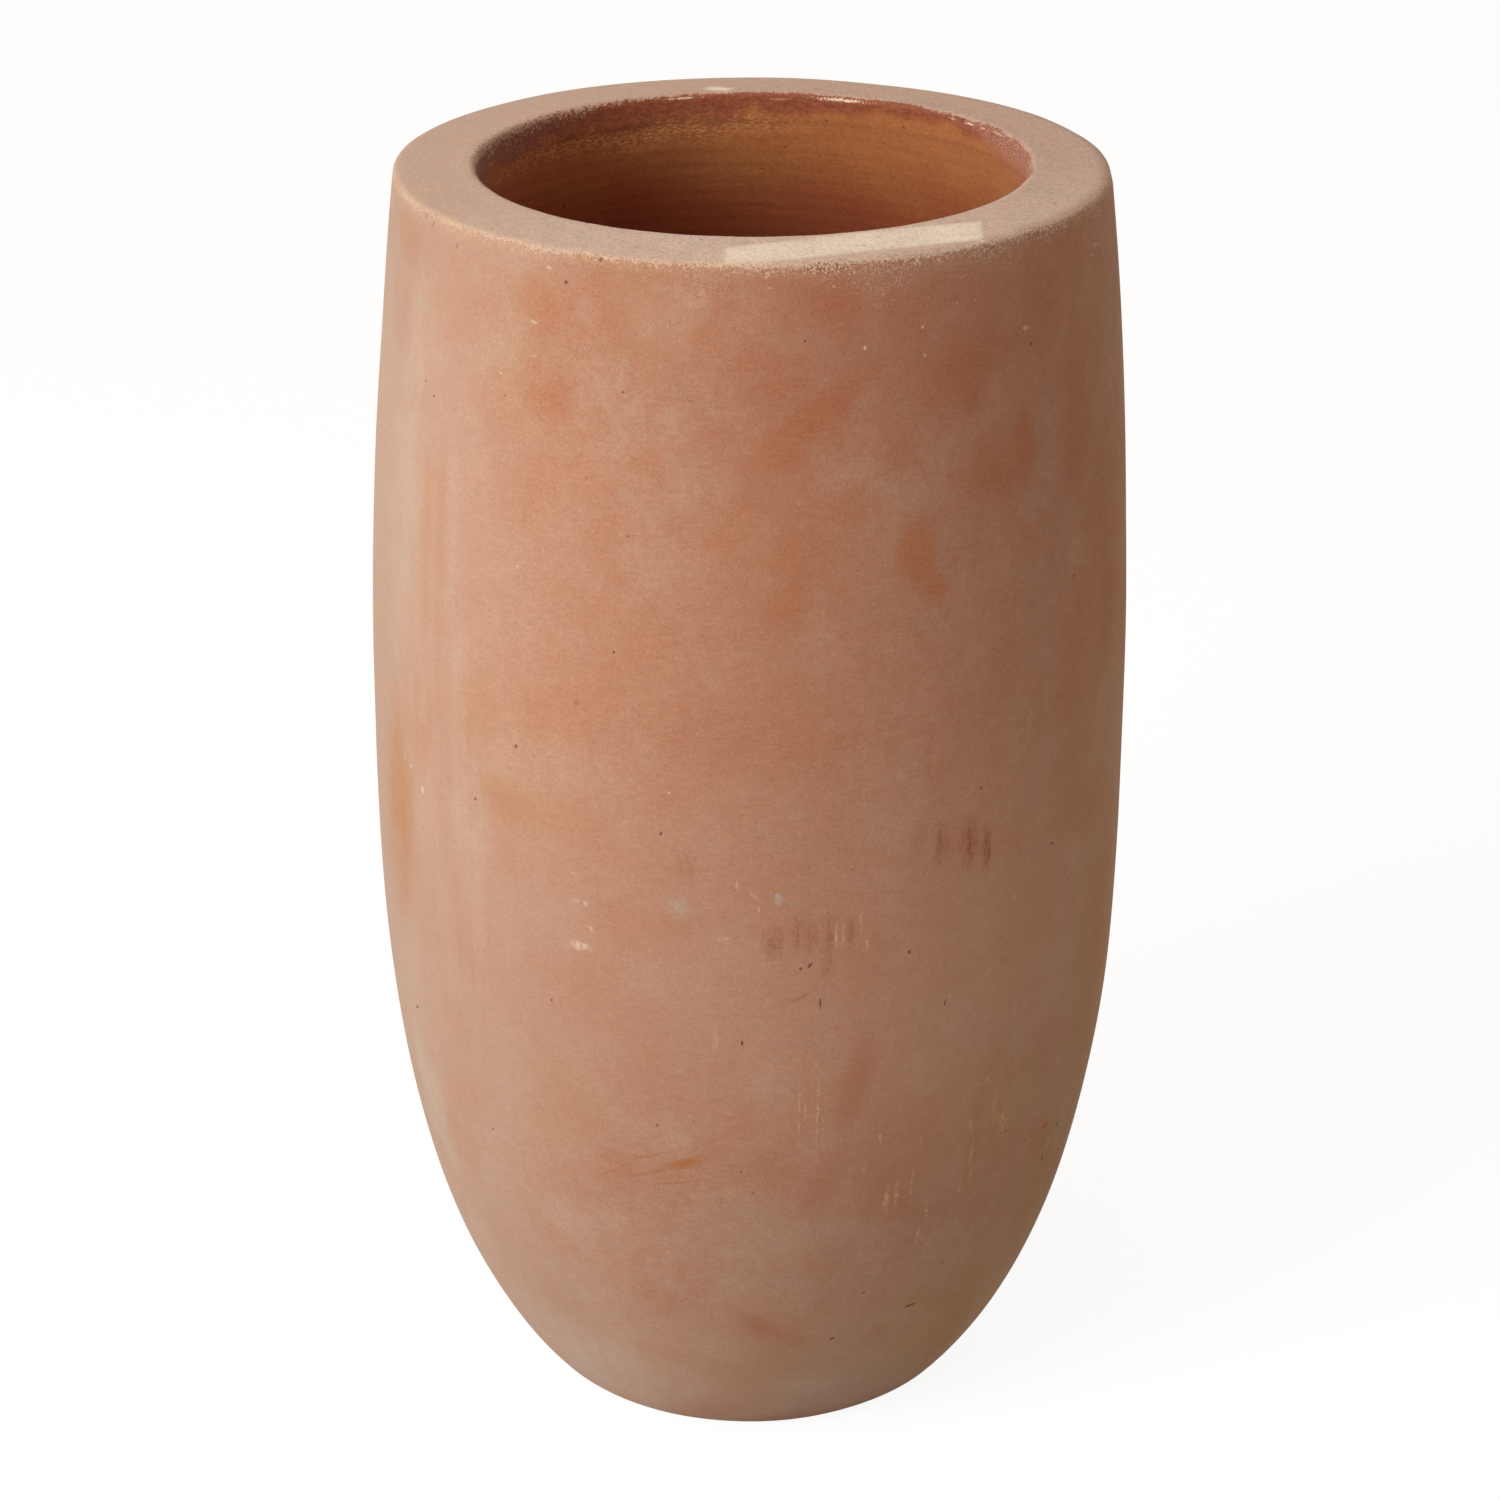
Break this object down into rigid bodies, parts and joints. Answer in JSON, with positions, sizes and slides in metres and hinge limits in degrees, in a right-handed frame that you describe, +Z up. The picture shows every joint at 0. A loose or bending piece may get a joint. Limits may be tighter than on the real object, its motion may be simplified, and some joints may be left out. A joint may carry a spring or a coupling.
{
  "type": "tall terracotta planter jar",
  "caption": "Tall hollow terracotta planter with an egg-shaped body, a thick flat turned-in rim, a small flat foot and a drainage hole.",
  "frame": {"origin": "centre of the foot, on the surface that the jar stands on", "axes": "+Z up along the jar's axis of revolution, from the foot to the mouth; X and Y are level"},
  "size_m": [0.474, 0.4738, 0.8],
  "materials": {
    "terracotta": "unglazed fired clay with a thin pale lime bloom"
  },
  "bodies": {
    "root": {"planter_jar": "terracotta"}
  },
  "joints": []
}
